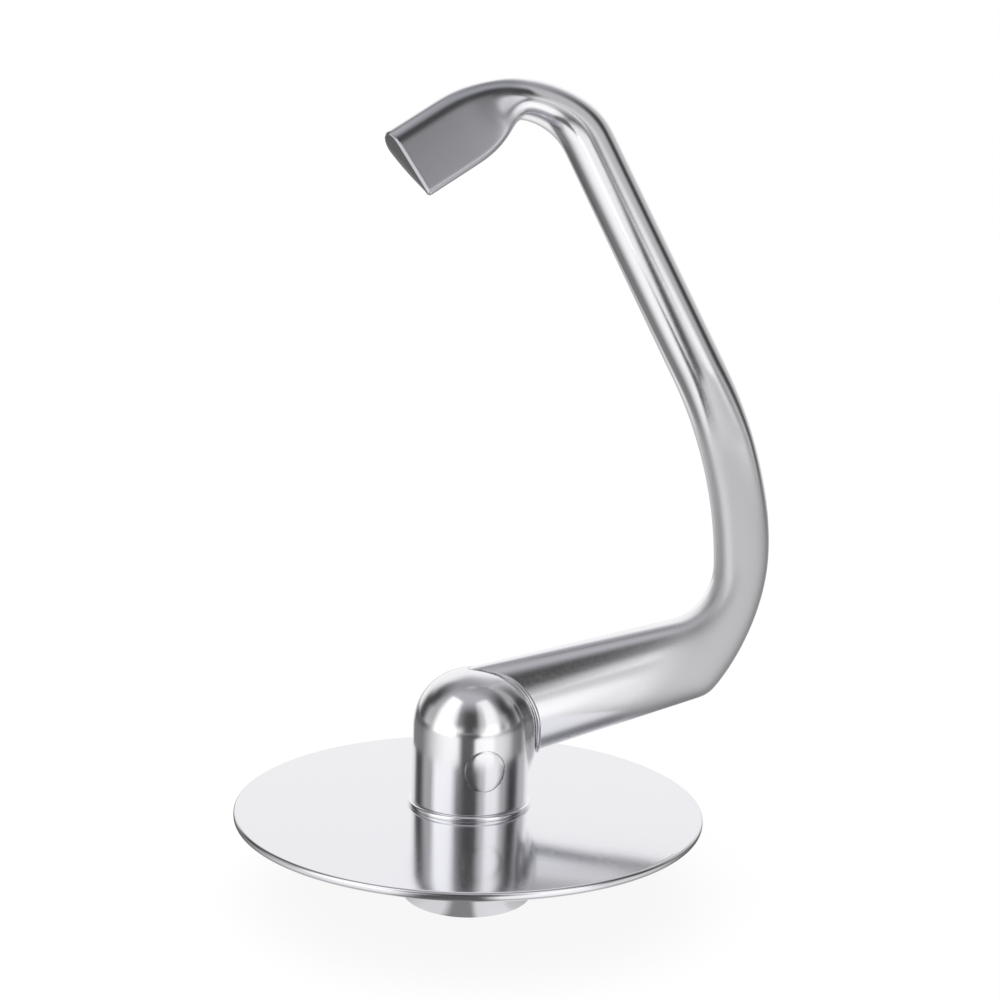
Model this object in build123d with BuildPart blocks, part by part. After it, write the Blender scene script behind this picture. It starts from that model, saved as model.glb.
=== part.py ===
"""Dough hook with a dough shield, a mixer's kneading tool, standing upside down on its drive collar.

Millimetres. The origin is the centre of the drive collar's mouth, +Z runs up the bore's axis,
and the hook lies in the XZ plane with its bow toward +X.
"""
import os
from math import cos, radians, sin

from build123d import *

# Drive collar and bore: a half-inch mixer shaft with one cross pin enters from below
bore_diameter = 13.0
collar_wall = 5.9
collar_length = 16.4
collar_edge_round = 0.6
mouth_chamfer = 0.5
spigot_wall = 2.0
spigot_length = 15.6

# Bayonet slot for the shaft's pin, on the collar's far side
slot_width = 5.2
slot_height = 11.0
slot_turn = 30.0
slot_bearing = 90.0
lock_dip = 1.0

# Dough shield, and the ring round the hub's foot
shield_diameter = 88.0
shield_thickness = 1.5
shield_rim_round = 0.6
ring_step = 0.65
ring_height = 0.9
ring_round = 0.5

# Hub: a cylinder with a hemispherical nose, and a low boss that carries the arm
hub_wall = 2.5
nose_above_bush = 0.77
hub_foot_round = 0.3
boss_height = 1.3
boss_side_margin = 0.4
boss_foot_margin = 0.9
boss_run = 20.0

# Flush dowel that locks the bush in the hub
dowel_diameter = 7.5
dowel_height = 8.34
dowel_bite = 1.2
dowel_chamfer = 0.2

# Arm's blade: a tall oval at the hub that turns squarish, with flat sides, toward the elbow
blade_top_rise = 10.9
blade_bottom_rise = 15.3
blade_top_above_nose = 0.23
blade_length = 41.8
blade_depth = 9.6
elbow_height = 16.2
elbow_radius = 9.9
elbow_heading = 91.8
heel_step = 2.9
heel_heading = 46.0

# Arm's bow, which turns from squarish to round, and its round bar
bow_radius = 77.2
bow_width = 10.2
bow_depth = 8.4
bow_rise = 3.1
bow_square_share = 0.6
bar_heading = 119.6
bar_run = 48.2
bar_width_low = 10.2
bar_width_top = 9.6

# Top bend, and the paddle: a wedge with its front ground flat and its back toward a thin lower edge
bend_radius = 10.2
bend_heading = 177.3
bend_thickness = 7.3
flare_reach = 7.9
flare_drop = 8.1
paddle_heading = 214.4
paddle_width = 13.3
paddle_run = 11.4
flat_run = 17.5
flat_offset = 2.5
flat_run_out = 3.5
thin_edge = 1.7
thick_edge = 6.2
thick_edge_inset = 3.0
back_run = 13.0
back_run_out = 7.0
tip_slant = 8.0
tip_allowance = 1.5

# Arm's tenon, which is hidden in the hub
tenon_width = 6.0
tenon_height = 7.0
tenon_length = 7.0
tenon_round = 1.5
tenon_roof = 1.5

# Clearances: brazed and pressed seats, and the free end of the bush in the hub
seat_gap = 0.05
end_gap = 0.2

# Pull of the free curves, as a share of the distance between their ends
even_pull = 0.32
flare_pull = (0.2, 0.6)

# Pull of a quarter curve that draws an ellipse, as a share of its half axes, and of one that is squarish
oval_pull = 0.5523
square_pull = 0.75

# Radii and levels that follow from the sizes above
bore_radius = bore_diameter / 2
collar_radius = bore_radius + collar_wall
spigot_radius = bore_radius + spigot_wall
hub_radius = spigot_radius + hub_wall
ring_radius = hub_radius + ring_step
dowel_radius = dowel_diameter / 2
bush_length = collar_length + spigot_length
shield_top = collar_length + shield_thickness
hub_foot = shield_top + ring_height
nose_centre = bush_length + nose_above_bush
nose_top = nose_centre + hub_radius
socket_roof = bush_length + end_gap
dowel_level = hub_foot + dowel_height
dowel_seat = spigot_radius - dowel_bite
tenon_level = socket_roof + tenon_roof + seat_gap + tenon_height / 2
tenon_start = hub_radius - tenon_length
boss_axis = Axis((boss_height, 0, 0), (0, 0, 1))
boss_plane = Plane(origin=(boss_height, 0, 0), x_dir=(1, 0, 0), z_dir=(0, -1, 0))


def heading(angle):
    """Unit direction in the XZ plane, with the angle counted from +X toward +Z."""
    return Vector(cos(radians(angle)), 0, sin(radians(angle)))


def swoop(start, start_heading, end, end_heading, pull=(even_pull, even_pull)):
    """Control points of a free curve that leaves and arrives at the given headings."""
    reach = (end - start).length
    leave = start + heading(start_heading) * (reach * pull[0])
    arrive = end - heading(end_heading) * (reach * pull[1])
    return start, leave, arrive, end


def bullet_outline(radius):
    """Half outline of the hub: a straight side from its foot, and a round nose."""
    with BuildSketch() as outline:
        with BuildLine():
            side = Line((radius, hub_foot), (radius, nose_centre))
            nose = RadiusArc(side @ 1, (0, nose_centre + radius), -radius)
            axis = Line(nose @ 1, (0, hub_foot))
            Line(axis @ 1, side @ 0)
        make_face()
    return outline.sketch


def section(inner_point, outer_point, depth, quarter_pull):
    """Oval or squarish face across the arm, of four quarter curves from the same starting place."""
    across = (outer_point - inner_point).normalized()
    middle = (inner_point + outer_point) * 0.5
    plane = Plane(origin=middle, x_dir=across, z_dir=across.cross(Vector(0, 1, 0)))
    half_width = (outer_point - inner_point).length / 2
    half_depth = depth / 2
    ends = [(half_width, 0), (0, half_depth), (-half_width, 0), (0, -half_depth)]
    quarters = []
    for (x1, y1), (x2, y2) in zip(ends, ends[1:] + ends[:1]):
        leave = (x1 + quarter_pull * x2, y1 + quarter_pull * y2)
        arrive = (x2 + quarter_pull * x1, y2 + quarter_pull * y1)
        points = [plane.from_local_coords(point) for point in ((x1, y1), leave, arrive, (x2, y2))]
        quarters.append(Edge.make_bezier(*points))
    return Face(Wire(quarters))


def pin_way(turn):
    """Plane that looks out of the bore along the pin, turned from the slot's mouth."""
    bearing = radians(slot_bearing + turn)
    outward = Vector(cos(bearing), sin(bearing), 0)
    return Plane(origin=(0, 0, 0), x_dir=Vector(0, 0, 1).cross(outward), z_dir=outward)


# Inside edge of the hook, from the hub's axis to the paddle's tip
with BuildLine(Plane.XZ) as inside_edge:
    blade_top = PolarLine((0, nose_top + blade_top_above_nose), blade_length, blade_top_rise)
    elbow_inside = JernArc(blade_top @ 1, blade_top % 1, elbow_radius, elbow_heading - blade_top_rise)
    bow_inside = JernArc(elbow_inside @ 1, elbow_inside % 1, bow_radius, bar_heading - elbow_heading)
    bar_inside = PolarLine(bow_inside @ 1, bar_run, bar_heading)
    bend_inside = JernArc(bar_inside @ 1, bar_inside % 1, bend_radius, bend_heading - bar_heading)
    paddle_root = bend_inside @ 1 - Vector(flare_reach, 0, flare_drop)
    flare_inside = Bezier(*swoop(bend_inside @ 1, bend_heading, paddle_root, paddle_heading, flare_pull))
    paddle_inside = PolarLine(paddle_root, paddle_run + tip_allowance, paddle_heading)

# Outside edge, which follows the inside edge at the arm's own widths
blade_heading = (blade_top_rise + blade_bottom_rise) / 2
heel = blade_top @ 1 + heading(blade_heading) * heel_step + heading(blade_heading - 90) * elbow_height
bow_point = elbow_inside @ 1 + Vector(bow_width, 0, bow_rise)
bar_start = bar_inside @ 0 + heading(bar_heading - 90) * bar_width_low
bar_end = bar_inside @ 1 + heading(bar_heading - 90) * bar_width_top
bar_back_heading = 90 + heading(90).get_angle(bar_end - bar_start)
crown_point = bend_inside @ 1 + Vector(0, 0, bend_thickness)
paddle_shift = heading(paddle_heading - 90) * paddle_width
with BuildLine(Plane.XZ) as outside_edge:
    blade_bottom = Line(heel - heading(blade_bottom_rise) * (blade_length + heel_step), heel)
    elbow_outside = Bezier(*swoop(heel, heel_heading, bow_point, 90))
    bow_outside = Bezier(*swoop(bow_point, 90, bar_start, bar_back_heading))
    bar_outside = Line(bar_start, bar_end)
    bend_outside = Bezier(*swoop(bar_end, bar_back_heading, crown_point, 180))
    flare_outside = Bezier(*swoop(crown_point, 180, paddle_root + paddle_shift, paddle_heading))
    paddle_outside = Line(paddle_root + paddle_shift, paddle_inside @ 1 + paddle_shift)

# Stretches of the arm: both edges, depths at the ends, pulls at the ends, and spans.
# The third number beside the pulls is the share of the stretch that keeps its first form.
stretches = [
    (blade_top, blade_bottom, (blade_depth, blade_depth), (oval_pull, square_pull, 0), 1),
    (elbow_inside, elbow_outside, (blade_depth, bow_depth), (square_pull, square_pull, 0), 8),
    (bow_inside, bow_outside, (bow_depth, bar_width_low), (square_pull, oval_pull, bow_square_share), 10),
    (bar_inside, bar_outside, (bar_width_low, bar_width_top), (oval_pull, oval_pull, 0), 1),
    (bend_inside, bend_outside, (bar_width_top, bar_width_top), (oval_pull, oval_pull, 0), 8),
    (flare_inside, flare_outside, (bar_width_top, bar_width_top), (oval_pull, oval_pull, 0), 8),
    (paddle_inside, paddle_outside, (bar_width_top, bar_width_top), (oval_pull, oval_pull, 0), 1),
]


def skin(inside, outside, depths, pulls, spans):
    """Sections of one stretch of the arm, from its start to its end."""
    first_pull, last_pull, kept_share = pulls
    sections = []
    for step in range(spans + 1):
        share = step / spans
        change = max(0, (share - kept_share) / (1 - kept_share))
        depth = depths[0] + (depths[1] - depths[0]) * change
        pull = first_pull + (last_pull - first_pull) * change
        sections.append(section(inside @ share, outside @ share, depth, pull))
    return sections


# Drive bush: collar under the shield, and a spigot up through shield and ring into the hub
with BuildPart() as drive_bush:
    with BuildSketch():
        Circle(collar_radius)
    extrude(amount=collar_length)
    fillet(drive_bush.edges().group_by(Axis.Z)[0], collar_edge_round)
    with BuildSketch(Plane.XY.offset(collar_length)):
        Circle(spigot_radius)
    extrude(amount=spigot_length)
    Hole(bore_radius)
    chamfer(drive_bush.edges().group_by(Axis.Z)[0].sort_by(SortBy.LENGTH)[0], mouth_chamfer)
    # Pin-way up from the mouth, a turn to the side, and a dip where the pin locks
    with BuildSketch(pin_way(0)):
        with Locations((0, slot_height)):
            Circle(slot_width / 2)
        with Locations((0, slot_height / 2)):
            Rectangle(slot_width, slot_height)
    extrude(amount=2 * collar_radius, mode=Mode.SUBTRACT)
    with BuildSketch(Plane.XY.offset(slot_height - slot_width / 2)):
        with BuildLine():
            first_side = PolarLine((0, 0), 2 * collar_radius, slot_bearing)
            last_side = PolarLine((0, 0), 2 * collar_radius, slot_bearing + slot_turn)
            Line(first_side @ 1, last_side @ 1)
        make_face()
    extrude(amount=slot_width, mode=Mode.SUBTRACT)
    with BuildSketch(pin_way(slot_turn)):
        with Locations((0, slot_height - lock_dip)):
            Circle(slot_width / 2)
        with Locations((0, slot_height)):
            Circle(slot_width / 2)
        with Locations((0, slot_height - lock_dip / 2)):
            Rectangle(slot_width, lock_dip)
    extrude(amount=2 * collar_radius, mode=Mode.SUBTRACT)
    # Blind seat of the lock dowel
    seat_end = (0, seat_gap - dowel_seat, dowel_level)
    with BuildSketch(Plane(origin=seat_end, x_dir=(1, 0, 0), z_dir=(0, -1, 0))):
        Circle(dowel_radius + seat_gap)
    extrude(amount=hub_radius, mode=Mode.SUBTRACT)
drive_bush.part.label = "drive_bush"

# Dough shield
with BuildPart() as dough_shield:
    with BuildSketch(Plane.XY.offset(collar_length)):
        Circle(shield_diameter / 2)
    extrude(amount=shield_thickness)
    fillet(dough_shield.edges(), shield_rim_round)
    with Locations((0, 0, shield_top)):
        Hole(spigot_radius + seat_gap)
dough_shield.part.label = "dough_shield"

# Ring between the hub's foot and the shield
with BuildPart() as foot_ring:
    with BuildSketch(Plane.XY.offset(shield_top)):
        Circle(ring_radius)
    extrude(amount=ring_height)
    fillet(foot_ring.edges().group_by(Axis.Z)[-1], ring_round)
    with Locations((0, 0, hub_foot)):
        Hole(spigot_radius + seat_gap)
foot_ring.part.label = "foot_ring"

# Lock dowel, ground flush with the hub
with BuildPart() as lock_dowel:
    with BuildSketch(Plane(origin=(0, -dowel_seat, dowel_level), x_dir=(1, 0, 0), z_dir=(0, -1, 0))):
        Circle(dowel_radius)
    extrude(amount=hub_radius)
    with BuildSketch(Plane.XZ):
        add(bullet_outline(hub_radius))
    revolve(axis=Axis.Z, mode=Mode.INTERSECT)
    chamfer(lock_dowel.edges().sort_by(Axis.Y)[0], dowel_chamfer)
lock_dowel.part.label = "lock_dowel"

# Boss that carries the arm: the blade's oval, a little fuller, out to the hub's bullet moved toward the arm
boss_sections = []
for share in (0, boss_run / blade_length):
    boss_foot = blade_bottom @ share + heading(blade_heading - 90) * boss_foot_margin
    boss_pull = oval_pull + (square_pull - oval_pull) * share
    boss_sections.append(section(blade_top @ share, boss_foot, blade_depth + 2 * boss_side_margin, boss_pull))
with BuildPart() as arm_boss:
    loft(boss_sections)
    with BuildSketch(boss_plane):
        add(bullet_outline(hub_radius))
    revolve(axis=boss_axis, mode=Mode.INTERSECT)

# Hub: bullet and boss, with the sockets for bush, dowel and tenon
with BuildPart() as hub:
    with BuildSketch(Plane.XZ):
        add(bullet_outline(hub_radius))
    revolve(axis=Axis.Z)
    fillet(hub.edges().group_by(Axis.Z)[0], hub_foot_round)
    add(arm_boss.part)
    with BuildSketch(Plane.XY.offset(hub_foot)):
        Circle(spigot_radius + seat_gap)
    extrude(amount=socket_roof - hub_foot, mode=Mode.SUBTRACT)
    with BuildSketch(Plane.YZ.offset(tenon_start - seat_gap)):
        with Locations((0, tenon_level)):
            RectangleRounded(tenon_width + 2 * seat_gap, tenon_height + 2 * seat_gap, tenon_round)
    extrude(amount=2 * hub_radius, mode=Mode.SUBTRACT)
    with BuildSketch(Plane(origin=(0, 0, dowel_level), x_dir=(1, 0, 0), z_dir=(0, -1, 0))):
        Circle(dowel_radius + seat_gap)
    extrude(amount=2 * hub_radius, mode=Mode.SUBTRACT)
    chamfer(hub.edges().filter_by(GeomType.BSPLINE).sort_by(Axis.Y)[0], dowel_chamfer)
hub.part.label = "hub"

# Hook arm: a skin over each stretch, from the blade to the paddle
tip = paddle_root + heading(paddle_heading) * paddle_run + paddle_shift * 0.5 - Vector(0, flat_offset, 0)
flat_plane = Plane(origin=tip, x_dir=-heading(paddle_heading), z_dir=heading(paddle_heading - 90))
back_point = tip - paddle_shift * 0.5 + Vector(0, thin_edge, 0)
back_rise = Vector(0, thick_edge - thin_edge, 0)
back_slope = heading(paddle_heading - 90) * (paddle_width - thick_edge_inset) + back_rise
back_plane = Plane(origin=back_point, x_dir=-heading(paddle_heading), z_dir=back_slope)
tip_normal = heading(paddle_heading) * cos(radians(tip_slant)) - Vector(0, sin(radians(tip_slant)), 0)
with BuildPart() as hook_arm:
    for stretch in stretches:
        loft(skin(*stretch), clean=False)
    # Seat on the hub's boss, and the tenon
    with BuildSketch(Plane.XZ):
        add(bullet_outline(hub_radius + seat_gap))
    revolve(axis=Axis.Z, mode=Mode.SUBTRACT)
    with BuildSketch(boss_plane):
        add(bullet_outline(hub_radius + seat_gap))
    revolve(axis=boss_axis, mode=Mode.SUBTRACT)
    with BuildSketch(Plane.YZ.offset(tenon_start)):
        with Locations((0, tenon_level)):
            RectangleRounded(tenon_width, tenon_height, tenon_round)
    extrude(amount=hub_radius + boss_height - tenon_start)
    # Slanted end of the paddle, and its flat and back, which run out as the grinding wheel left them
    with BuildSketch(Plane(origin=tip, x_dir=heading(paddle_heading - 90), z_dir=tip_normal)):
        Rectangle(2 * paddle_width, 2 * paddle_width)
    extrude(amount=2 * tip_allowance, mode=Mode.SUBTRACT)
    with BuildSketch(flat_plane) as flat_cutter:
        with Locations((-paddle_run, 0)):
            Rectangle(paddle_run + flat_run + flat_run_out, paddle_width, align=(Align.MIN, Align.MAX))
        fillet(flat_cutter.vertices().group_by(Axis.Y)[-1], flat_run_out)
    extrude(amount=paddle_width, both=True, mode=Mode.SUBTRACT)
    with BuildSketch(back_plane) as back_cutter:
        with Locations((-paddle_run, 0)):
            Rectangle(paddle_run + back_run + back_run_out, paddle_width, align=(Align.MIN, Align.MIN))
        fillet(back_cutter.vertices().group_by(Axis.Y)[0], back_run_out)
    extrude(amount=2 * paddle_width, both=True, mode=Mode.SUBTRACT)
hook_arm.part.label = "hook_arm"

os.makedirs("parts", exist_ok=True)
for piece in (drive_bush, dough_shield, foot_ring, hub, lock_dowel, hook_arm):
    export_step(piece.part, f"parts/{piece.part.label}.step")
    print(piece.part.label, "volume", round(piece.part.volume, 1), "solids", len(piece.part.solids()))
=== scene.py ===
# %% [markdown]
# # A dough hook of polished steel
# A dough hook kneads bread dough in a mixer. This one stands upside down on its drive collar, with its
# round shield low and the hook above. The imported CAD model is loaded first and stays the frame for
# everything else: each piece below goes where the frame says, in metres.

# %% Load the frame
from math import atan2, cos, pi, radians, sin, tan

import bpy
import numpy as np
from mathutils import Matrix, Vector


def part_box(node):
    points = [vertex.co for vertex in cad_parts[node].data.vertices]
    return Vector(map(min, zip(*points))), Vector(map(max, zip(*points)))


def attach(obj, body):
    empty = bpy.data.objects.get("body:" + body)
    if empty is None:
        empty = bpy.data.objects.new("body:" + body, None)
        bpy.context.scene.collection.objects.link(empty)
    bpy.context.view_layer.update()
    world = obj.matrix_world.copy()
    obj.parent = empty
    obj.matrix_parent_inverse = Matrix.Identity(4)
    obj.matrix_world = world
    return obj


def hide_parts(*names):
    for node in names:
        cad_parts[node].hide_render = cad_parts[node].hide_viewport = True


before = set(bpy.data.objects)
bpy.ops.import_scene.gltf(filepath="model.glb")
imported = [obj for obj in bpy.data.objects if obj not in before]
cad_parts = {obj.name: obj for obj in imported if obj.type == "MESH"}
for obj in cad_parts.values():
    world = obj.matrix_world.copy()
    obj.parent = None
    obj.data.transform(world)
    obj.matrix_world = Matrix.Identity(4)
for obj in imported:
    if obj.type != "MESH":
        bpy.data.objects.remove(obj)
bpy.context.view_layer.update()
scene = bpy.context.scene
mm = 0.001

# %% [markdown]
# ## Camera
# The photograph was taken from a little above the middle of the hook, close by, with the hook's plane
# turned 16 degrees from the picture. A 50 mm lens on a 36 mm sensor gives that perspective. The camera is
# built from its three axes, because the picture is also turned by a degree and a half.

# %% Camera's axes
camera_place = Vector((-66.27, -246.74, 105.86)) * mm
camera_bearing = radians(16.0)
camera_pitch = radians(6.73)
camera_roll = radians(1.574)

ahead = Vector((
    sin(camera_bearing) * cos(camera_pitch),
    cos(camera_bearing) * cos(camera_pitch),
    -sin(camera_pitch),
))
level_right = Vector((cos(camera_bearing), -sin(camera_bearing), 0))
level_up = level_right.cross(ahead)
right = level_right * cos(camera_roll) + level_up * sin(camera_roll)
up = level_up * cos(camera_roll) - level_right * sin(camera_roll)
print("camera looks along", [round(v, 3) for v in ahead])

# %% Place the camera
camera_data = bpy.data.cameras.new("camera")
camera_data.lens = 50
camera_data.sensor_width = 36
camera_data.clip_start = 10 * mm
camera = bpy.data.objects.new("camera", camera_data)
axes = Matrix((right, up, -ahead)).transposed().to_4x4()
camera.matrix_world = Matrix.Translation(camera_place) @ axes
scene.collection.objects.link(camera)
scene.camera = camera
scene.view_settings.view_transform = "Standard"
print("camera is", round(camera_place.length, 3), "m from the collar's mouth")

# %% [markdown]
# ## Helpers for nodes and colours
# Colours are written as sRGB hex values, as a paint chart gives them, and one function turns them to the
# linear values that shaders use. One more function adds a node with its settings and links.

# %% Colour and node helpers
def linear(hex_colour):
    """Linear RGBA of an sRGB hex colour."""
    shares = [int(hex_colour[i:i + 2], 16) / 255 for i in (1, 3, 5)]
    return [c / 12.92 if c <= 0.04045 else ((c + 0.055) / 1.055) ** 2.4 for c in shares] + [1.0]


def add_node(tree, kind, settings=None, **links):
    """Adds a node. Settings are its properties, or a colour ramp's grey stops, and links fill its inputs."""
    node = tree.nodes.new(kind)
    for key, value in (settings or {}).items():
        if key == "stops":
            points = node.color_ramp.elements
            points.remove(points[-1])
            for i, (place, level) in enumerate(value):
                point = points[0] if i == 0 else points.new(place)
                point.position = place
                point.color = (level, level, level, 1)
        else:
            setattr(node, key, value)
    for key, value in links.items():
        name = key[3:] if key.startswith("at_") else key
        socket = node.inputs[int(name)] if name.isdigit() else node.inputs[name.replace("_", " ")]
        if isinstance(value, bpy.types.NodeSocket):
            tree.links.new(value, socket)
        else:
            socket.default_value = value
    return node


print("white is", linear("#FFFFFF"))

# %% [markdown]
# ## Mesh helpers
# Polished metal shows every unevenness of its surface, so the pieces are made as fine grids: rings of
# points that are joined to their neighbours. A turned piece takes its rings from a half outline. The arm
# takes them from ovals along its two edges.

# %% Rings to mesh
def join_rings(name, rings, loop=False):
    """Mesh object of equal closed rings. With loop the last ring joins the first, else ends are capped."""
    rings = np.asarray(rings)
    count, size = rings.shape[:2]
    faces = []
    for i in range(count if loop else count - 1):
        a = i * size
        b = ((i + 1) % count) * size
        for j in range(size):
            k = (j + 1) % size
            faces.append((a + j, a + k, b + k, b + j))
    if not loop:
        faces.append(tuple(range(size - 1, -1, -1)))
        faces.append(tuple(range((count - 1) * size, count * size)))
    mesh = bpy.data.meshes.new(name)
    mesh.from_pydata(rings.reshape(-1, 3).tolist(), [], faces)
    mesh.validate()
    mesh.polygons.foreach_set("use_smooth", [True] * len(mesh.polygons))
    mesh.set_sharp_from_angle(angle=radians(35))
    piece = bpy.data.objects.new(name, mesh)
    scene.collection.objects.link(piece)
    return piece


print("ring helper ready")

# %% Turned pieces
def rounded(corners, step=radians(6)):
    """Outline through corners (r, z, round), with each corner's round drawn as an arc."""
    points = []
    count = len(corners)
    for i, (x, y, radius) in enumerate(corners):
        corner = np.array([x, y])
        before = np.array(corners[i - 1][:2]) - corner
        after = np.array(corners[(i + 1) % count][:2]) - corner
        if radius == 0:
            points.append(corner)
            continue
        before /= np.linalg.norm(before)
        after /= np.linalg.norm(after)
        half = np.arccos(np.clip(before @ after, -1, 1)) / 2
        middle = corner + (before + after) / np.linalg.norm(before + after) * radius / sin(half)
        first = corner + before * radius / tan(half) - middle
        last = corner + after * radius / tan(half) - middle
        turn = pi - 2 * half
        steps = max(2, int(turn / step))
        for share in np.linspace(0, 1, steps + 1):
            points.append(middle + (first * sin((1 - share) * turn) + last * sin(share * turn)) / sin(turn))
    return np.array(points)


def turned(name, outline, around):
    """Turned ring-shaped piece: a closed outline of (r, z) swung about the Z axis."""
    angles = np.linspace(0, 2 * pi, around, endpoint=False)
    rings = [np.stack([r * np.cos(angles), r * np.sin(angles), np.full(around, z)], 1) for r, z in outline]
    return join_rings(name, np.array(rings) * mm, loop=True)


print("turning helpers ready")

# %% [markdown]
# ## Sizes
# The sizes of the turned pieces come from the frame's own boxes. The arm's edges, further down, repeat the
# CAD model's driving dimensions in millimetres, because a skin can't be read back from a box.

# %% Levels and radii from the frame
def box_mm(node):
    """Lowest and highest corner of a CAD node, in mm."""
    low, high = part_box(node)
    return np.array(low) / mm, np.array(high) / mm


shield_low, shield_high = box_mm("dough_shield")
ring_low, ring_high = box_mm("foot_ring")
hub_low, hub_high = box_mm("hub")
dowel_low, dowel_high = box_mm("lock_dowel")
bush_top = box_mm("drive_bush")[1][2]
shield_radius = shield_high[0]
ring_radius = ring_high[0]
hub_radius = -hub_low[0]
hub_foot = hub_low[2]
nose_top = hub_high[2]
nose_centre = nose_top - hub_radius
spigot_radius = 8.5
seat_gap = 0.05
end_gap = 0.2
socket_roof = bush_top + end_gap
dowel_level = (dowel_low[2] + dowel_high[2]) / 2
dowel_radius = dowel_high[0]
boss_height = hub_high[0] - hub_radius
print("hub radius", round(hub_radius, 2), "nose top", round(nose_top, 2), "boss", round(boss_height, 2))

# %% [markdown]
# ## Shield and foot ring
# The shield is a thin disc of polished sheet that keeps dough from climbing up the shaft. Its rim is
# rounded by tumbling. The foot ring is the small collar between hub and shield. A lathe would make both, so
# both are half outlines swung round the axis.

# %% Turn the shield and the ring
shield_rim_round = 0.6
ring_foot_round = 0.12
ring_round = 0.5
hole_radius = spigot_radius + seat_gap
shield_outline = rounded([
    (hole_radius, shield_low[2], 0),
    (shield_radius, shield_low[2], shield_rim_round),
    (shield_radius, shield_high[2], shield_rim_round),
    (hole_radius, shield_high[2], 0),
])
shield = turned("shield", shield_outline, around=512)
ring_outline = rounded([
    (hole_radius, ring_low[2], 0),
    (ring_radius, ring_low[2], ring_foot_round),
    (ring_radius, ring_high[2], ring_round),
    (hole_radius, ring_high[2], 0),
])
foot_ring = turned("foot_ring_piece", ring_outline, around=256)
print("shield has", len(shield.data.vertices), "points, ring has", len(foot_ring.data.vertices))

# %% [markdown]
# ## The arm's two edges
# The hook is easiest to describe by its inside and outside edge, as a smith would chalk it on the floor:
# straight runs, arcs and free curves, each leaving where the last one ended. Headings are in degrees, from
# +X toward +Z. Ovals then stand across both edges.

# %% Helpers for edges
def toward(angle):
    """Unit direction in the hook's plane, from +X toward +Z."""
    return np.array([cos(radians(angle)), sin(radians(angle))])


def straight(start, end, count):
    """Points on a straight run."""
    share = np.linspace(0, 1, count)[:, None]
    return start + (end - start) * share


def arc(start, first, last, radius, count):
    """Points on an arc that turns left from one heading to another."""
    angles = np.radians(np.linspace(first, last, count))
    centre = start + radius * toward(first + 90)
    return centre + radius * np.stack([np.sin(angles), -np.cos(angles)], 1)


def swoop(start, first, end, last, count, pull=(0.32, 0.32)):
    """Points on a free curve that leaves and arrives at the given headings."""
    reach = np.linalg.norm(end - start)
    leave = start + toward(first) * reach * pull[0]
    arrive = end - toward(last) * reach * pull[1]
    t = np.linspace(0, 1, count)[:, None]
    return (1 - t) ** 3 * start + 3 * t * (1 - t) ** 2 * leave + 3 * t * t * (1 - t) * arrive + t ** 3 * end


print("edge helpers ready")

# %% Inside edge
blade_lift = 0.23
blade_top_rise = 10.9
blade_length = 41.8
elbow_radius = 9.9
elbow_heading = 91.8
bow_radius = 77.2
bar_heading = 119.6
bar_run = 48.2
bend_radius = 10.2
bend_heading = 177.3
flare_step = np.array([7.9, 8.1])
flare_pull = (0.2, 0.6)
paddle_heading = 214.4
paddle_run = 11.4

counts = {"blade": 150, "elbow": 90, "bow": 140, "bar": 150, "bend": 60, "flare": 60, "paddle": 50}
blade_start = np.array([0, nose_top + blade_lift])
blade_end = blade_start + toward(blade_top_rise) * blade_length
elbow_in = arc(blade_end, blade_top_rise, elbow_heading, elbow_radius, counts["elbow"])
bow_in = arc(elbow_in[-1], elbow_heading, bar_heading, bow_radius, counts["bow"])
bar_in = straight(bow_in[-1], bow_in[-1] + toward(bar_heading) * bar_run, counts["bar"])
bend_in = arc(bar_in[-1], bar_heading, bend_heading, bend_radius, counts["bend"])
paddle_root = bend_in[-1] - flare_step
paddle_end = paddle_root + toward(paddle_heading) * paddle_run
inside = [
    straight(blade_start, blade_end, counts["blade"]),
    elbow_in,
    bow_in,
    bar_in,
    bend_in,
    swoop(bend_in[-1], bend_heading, paddle_root, paddle_heading, counts["flare"], flare_pull),
    straight(paddle_root, paddle_end, counts["paddle"]),
]
print("tip of the paddle at", paddle_end.round(1))

# %% Outside edge
blade_bottom_rise = 15.3
blade_rise = (blade_top_rise + blade_bottom_rise) / 2
elbow_height = 16.2
heel_step = 2.9
heel_heading = 46.0
bow_width = 10.2
bow_rise = 3.1
bar_width_low = 10.2
bar_width_top = 9.6
bend_thickness = 7.3
paddle_width = 13.3

heel = blade_end + toward(blade_rise) * heel_step + toward(blade_rise - 90) * elbow_height
foot_start = heel - toward(blade_bottom_rise) * (blade_length + heel_step)
bow_point = elbow_in[-1] + np.array([bow_width, bow_rise])
bar_start = bar_in[0] + toward(bar_heading - 90) * bar_width_low
bar_end = bar_in[-1] + toward(bar_heading - 90) * bar_width_top
bar_back = np.degrees(atan2(*(bar_end - bar_start)[::-1]))
crown = bend_in[-1] + np.array([0, bend_thickness])
paddle_shift = toward(paddle_heading - 90) * paddle_width
outside = [
    straight(foot_start, heel, counts["blade"]),
    swoop(heel, heel_heading, bow_point, 90, counts["elbow"]),
    swoop(bow_point, 90, bar_start, bar_back, counts["bow"]),
    straight(bar_start, bar_end, counts["bar"]),
    swoop(bar_end, bar_back, crown, 180, counts["bend"]),
    swoop(crown, 180, paddle_root + paddle_shift, paddle_heading, counts["flare"]),
    straight(paddle_root + paddle_shift, paddle_end + paddle_shift, counts["paddle"]),
]
print("heel at", heel.round(1), "crown at", crown.round(1))

# %% [markdown]
# ## Depth and form along the arm
# The edges say nothing about the arm's depth across the hook's plane, nor about its section's form. Both
# run from stretch to stretch. A section is drawn with four quarter curves, and their pull decides the form:
# 0.55 draws an ellipse, and more makes it squarish with flat sides. The blade starts as an oval and turns
# squarish toward the elbow, and the bow turns round again toward the bar. Flat sides are why the elbow looks
# calm while the bar shows streaks.

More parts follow.
